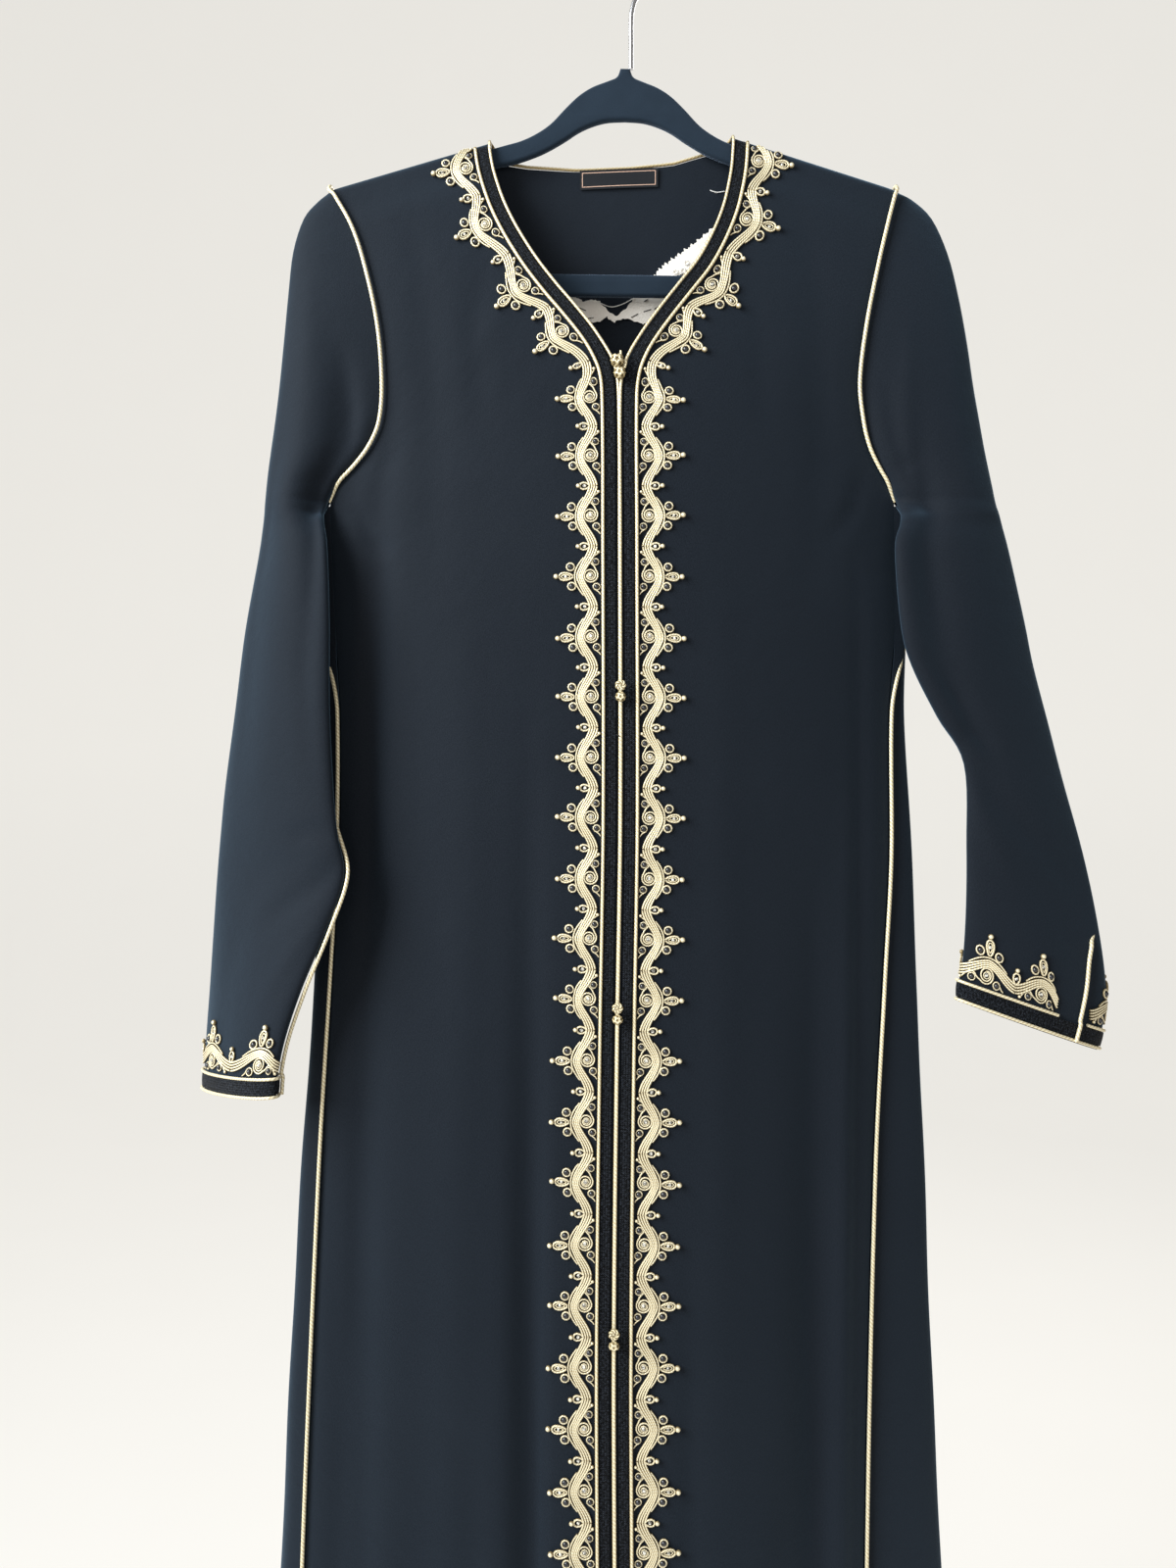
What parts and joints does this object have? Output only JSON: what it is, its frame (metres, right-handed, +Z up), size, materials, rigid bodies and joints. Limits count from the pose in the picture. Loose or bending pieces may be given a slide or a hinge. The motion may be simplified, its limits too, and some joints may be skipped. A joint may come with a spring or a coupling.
{
  "type": "moroccan kaftan on a velvet hanger",
  "caption": "Long navy crepe moroccan kaftan with gold cord embroidery down its closed front, round the neck and at the cuffs, hanging on a slim flocked hanger by its wire hook.",
  "frame": {"origin": "Inner top of the hook's loop, where a rail or peg carries the hanger.", "axes": "+X to the viewer's right when facing the front of the kaftan, +Y away from the viewer, towards the kaftan's back, +Z up."},
  "size_m": [0.6153, 0.0899, 1.5323],
  "materials": {
    "navy_crepe": "matte crepe",
    "gold_cord": "metallic gold thread, twisted",
    "gold_cordwork": "couched metallic gold cord",
    "black_braid": "woven herringbone braid, slight sheen",
    "white_backing": "plain white stiffener",
    "label_satin": "satin ribbon, blank",
    "flocked_plastic": "flocked, velvety",
    "hook_steel": "bright wire"
  },
  "bodies": {
    "root": {"armhole_piping_left": "gold_cord", "armhole_piping_right": "gold_cord", "back": "navy_crepe", "back_cord": "gold_cord", "backing": "white_backing", "braid_left": "black_braid", "braid_right": "black_braid", "closure_1": "gold_cord", "closure_2": "gold_cord", "closure_3": "gold_cord", "closure_4": "gold_cord", "closure_5": "gold_cord", "closure_6": "gold_cord", "cuff_braid_left": "black_braid", "cuff_braid_right": "black_braid", "cuff_cord_high_left": "gold_cord", "cuff_cord_high_right": "gold_cord", "cuff_cord_low_left": "gold_cord", "cuff_cord_low_right": "gold_cord", "cuff_embroidery_left": "gold_cordwork", "cuff_embroidery_right": "gold_cordwork", "edge_cord": "gold_cord", "embroidery_back": "gold_cordwork", "embroidery_left": "gold_cordwork", "embroidery_right": "gold_cordwork", "front_left": "navy_crepe", "front_right": "navy_crepe", "gore_left": "navy_crepe", "gore_right": "navy_crepe", "hanger_body": "flocked_plastic", "hook": "hook_steel", "label": "label_satin", "outer_cord_left": "gold_cord", "outer_cord_right": "gold_cord", "side_piping_left": "gold_cord", "side_piping_right": "gold_cord", "sleeve_left": "navy_crepe", "sleeve_right": "navy_crepe", "underarm_piping_left": "gold_cord", "underarm_piping_right": "gold_cord"}
  },
  "joints": []
}
